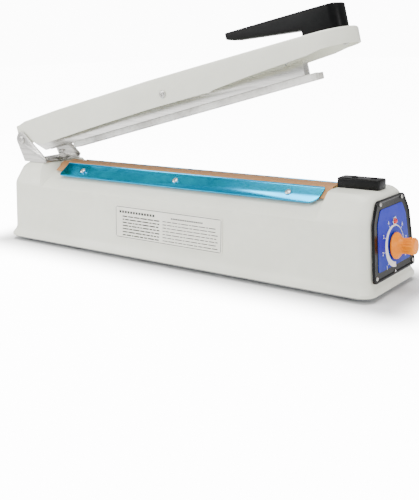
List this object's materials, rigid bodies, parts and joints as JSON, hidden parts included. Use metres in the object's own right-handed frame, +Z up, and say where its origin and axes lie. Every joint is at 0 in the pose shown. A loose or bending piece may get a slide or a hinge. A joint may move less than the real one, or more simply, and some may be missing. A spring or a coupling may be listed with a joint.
{
  "type": "impulse heat sealer",
  "caption": "Bench-top impulse bag sealer: hinged spring-loaded arm with silicone press bar over a cloth-covered heating line, timer knob on one end.",
  "frame": {"origin": "centre of the overall box in plan, on the surface that the rubber feet stand on", "axes": "+X from the hinge towards the control panel along the machine's length, -Y towards the operator, +Z up"},
  "size_m": [0.449, 0.0924, 0.2283],
  "materials": {
    "painted_shell": "warm light grey powder coat, slightly textured",
    "base_sheet": "grey painted sheet steel",
    "foot_rubber": "matt black rubber",
    "bed_alloy": "satin aluminium",
    "element_alloy": "flat nickel-chrome strip",
    "terminal_brass": "plain brass",
    "ptfe_cloth": "tan PTFE-coated glass cloth, low sheen",
    "clamp_strip": "blue mirror-anodised sheet",
    "screw_chrome": "bright plated screws",
    "steel_plated": "nickel-plated steel",
    "black_gloss": "black moulded plastic",
    "dark_moulding": "dark moulded plastic",
    "core_steel": "varnished laminations",
    "winding": "varnished copper winding, as one block",
    "board": "green circuit board",
    "carrier_white": "white moulded plastic",
    "relay_blue": "blue relay case",
    "lamp_red": "clear red lens",
    "label_blue": "blue printed film",
    "label_cream": "cream printed foil",
    "knob_amber": "amber moulded plastic",
    "bar_steel": "bright plated sheet steel",
    "silicone": "grey-white silicone",
    "bush_bronze": "sintered bronze"
  },
  "bodies": {
    "base": {"body_shell": "painted_shell", "base_plate": "base_sheet", "rubber_foot_1": "foot_rubber", "rubber_foot_2": "foot_rubber", "rubber_foot_3": "foot_rubber", "rubber_foot_4": "foot_rubber", "sealing_bed": "bed_alloy", "heating_element": "element_alloy", "element_terminal_left": "terminal_brass", "element_terminal_right": "terminal_brass", "ptfe_cloth": "ptfe_cloth", "front_clamp_strip": "clamp_strip", "rear_clamp_strip": "clamp_strip", "front_strip_screw_1": "screw_chrome", "front_strip_screw_2": "screw_chrome", "front_strip_screw_3": "screw_chrome", "rear_strip_screw_1": "screw_chrome", "rear_strip_screw_2": "screw_chrome", "rear_strip_screw_3": "screw_chrome", "switch_block": "black_gloss", "switch_block_screw": "steel_plated", "microswitch": "dark_moulding", "switch_bracket": "steel_plated", "transformer_core": "core_steel", "transformer_winding": "winding", "transformer_strap": "steel_plated", "timer_board": "board", "board_carrier": "carrier_white", "timer_relay": "relay_blue", "potentiometer": "steel_plated", "indicator_lamp": "lamp_red", "cable_gland": "black_gloss", "control_panel": "black_gloss", "panel_label": "label_blue", "panel_screw_1": "steel_plated", "panel_screw_2": "steel_plated", "panel_screw_3": "steel_plated", "panel_screw_4": "steel_plated", "rating_label": "label_cream", "hinge_bracket": "steel_plated", "hinge_bracket_screw_1": "steel_plated", "hinge_bracket_screw_2": "steel_plated", "hinge_pin": "steel_plated", "hinge_pin_nut": "steel_plated", "lift_spring": "steel_plated"},
    "press_bar": {"press_bar_channel": "bar_steel", "silicone_strip": "silicone", "hinge_bush_near": "bush_bronze", "hinge_bush_far": "bush_bronze", "pressure_spring": "steel_plated"},
    "arm": {"arm_cover": "painted_shell", "handle": "black_gloss", "handle_screw_1": "steel_plated", "handle_screw_2": "steel_plated", "guide_bolt": "steel_plated", "guide_bolt_nut": "steel_plated", "actuator_pin": "steel_plated"},
    "plunger": {"switch_plunger": "black_gloss"},
    "knob": {"timer_knob": "knob_amber", "knob_shaft": "steel_plated"}
  },
  "joints": [
    {"name": "press_bar_hinge", "type": "hinge", "parent": "base", "child": "press_bar", "pos_m": [-0.21445, 0, 0.1058], "axis": [0, 1, 0], "range_deg": [0, 13.7], "stiffness_Nm_per_rad": 4, "springref_deg": -28.65, "deforming": ["lift_spring"]},
    {"name": "arm_overtravel", "type": "hinge", "parent": "press_bar", "child": "arm", "pos_m": [-0.21445, 0, 0.1058], "axis": [0, 1, 0], "range_deg": [0, 1.8], "stiffness_Nm_per_rad": 20, "springref_deg": -11.46, "deforming": ["pressure_spring"]},
    {"name": "plunger_slide", "type": "slide", "parent": "base", "child": "plunger", "axis": [0, 0, -1], "range_m": [0, 0.00085], "stiffness_N_per_m": 100, "springref_m": -0.002},
    {"name": "timer_turn", "type": "hinge", "parent": "base", "child": "knob", "pos_m": [0.20601, 0.0015, 0.03805], "axis": [0.9953, 0, 0.0965], "range_deg": [-135, 135]}
  ],
  "couplings": [
    {"joint": "plunger_slide", "follows": "arm_overtravel", "m_per_rad": 0.0254}
  ]
}
